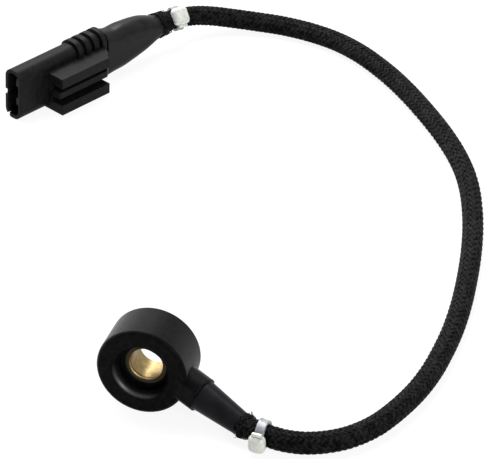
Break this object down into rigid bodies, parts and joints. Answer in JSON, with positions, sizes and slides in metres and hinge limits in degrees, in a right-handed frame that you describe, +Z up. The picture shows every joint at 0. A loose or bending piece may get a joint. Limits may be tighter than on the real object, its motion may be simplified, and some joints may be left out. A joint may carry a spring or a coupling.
{
  "type": "engine knock sensor",
  "caption": "Bolt-on ring knock sensor with an angled neck, a braided cable held by ties, and a flat pin connector with a mounting rail, finger grip and tapered boot.",
  "frame": {"origin": "centre of the bore at the sleeve's contact face", "axes": "+Y along the bore, out of the contact face; +Z up; the ring stands on its rim and the cable and the connector lie on the same surface"},
  "size_m": [0.1493, 0.2092, 0.023],
  "materials": {
    "sensor_housing": "moulded glass-filled plastic, satin",
    "pressure_sleeve": "turned, bare",
    "insulator": "amber film",
    "contact": "stamped",
    "piezo_ceramic": "fired ceramic with silvered faces",
    "seismic_mass": "turned",
    "spring_steel": "sprung and oiled",
    "threaded_ring": "zinc plated",
    "ground_core": "core insulation",
    "signal_core": "core insulation",
    "cable_sleeve": "smooth satin",
    "braid": "braided sleeving",
    "tie_nylon": "translucent white nylon",
    "boot": "smooth and glossy",
    "connector_body": "moulded plastic, matte",
    "pin": "tin plated",
    "terminal_lock": "green moulded plastic"
  },
  "bodies": {
    "root": {"sensor_housing": "sensor_housing", "pressure_sleeve": "pressure_sleeve", "lower_insulator": "insulator", "lower_contact": "contact", "piezo_ring": "piezo_ceramic", "upper_contact": "contact", "upper_insulator": "insulator", "seismic_mass": "seismic_mass", "spring_washer": "spring_steel", "threaded_ring": "threaded_ring", "ground_lead": "ground_core", "signal_lead": "signal_core", "cable_sleeve": "cable_sleeve", "braided_cable": "braid", "sensor_end_tie": "tie_nylon", "connector_end_tie": "tie_nylon", "connector_boot": "boot", "connector_body": "connector_body", "ground_pin": "pin", "signal_pin": "pin", "terminal_lock": "terminal_lock", "ground_tail": "ground_core", "signal_tail": "signal_core"}
  },
  "joints": []
}
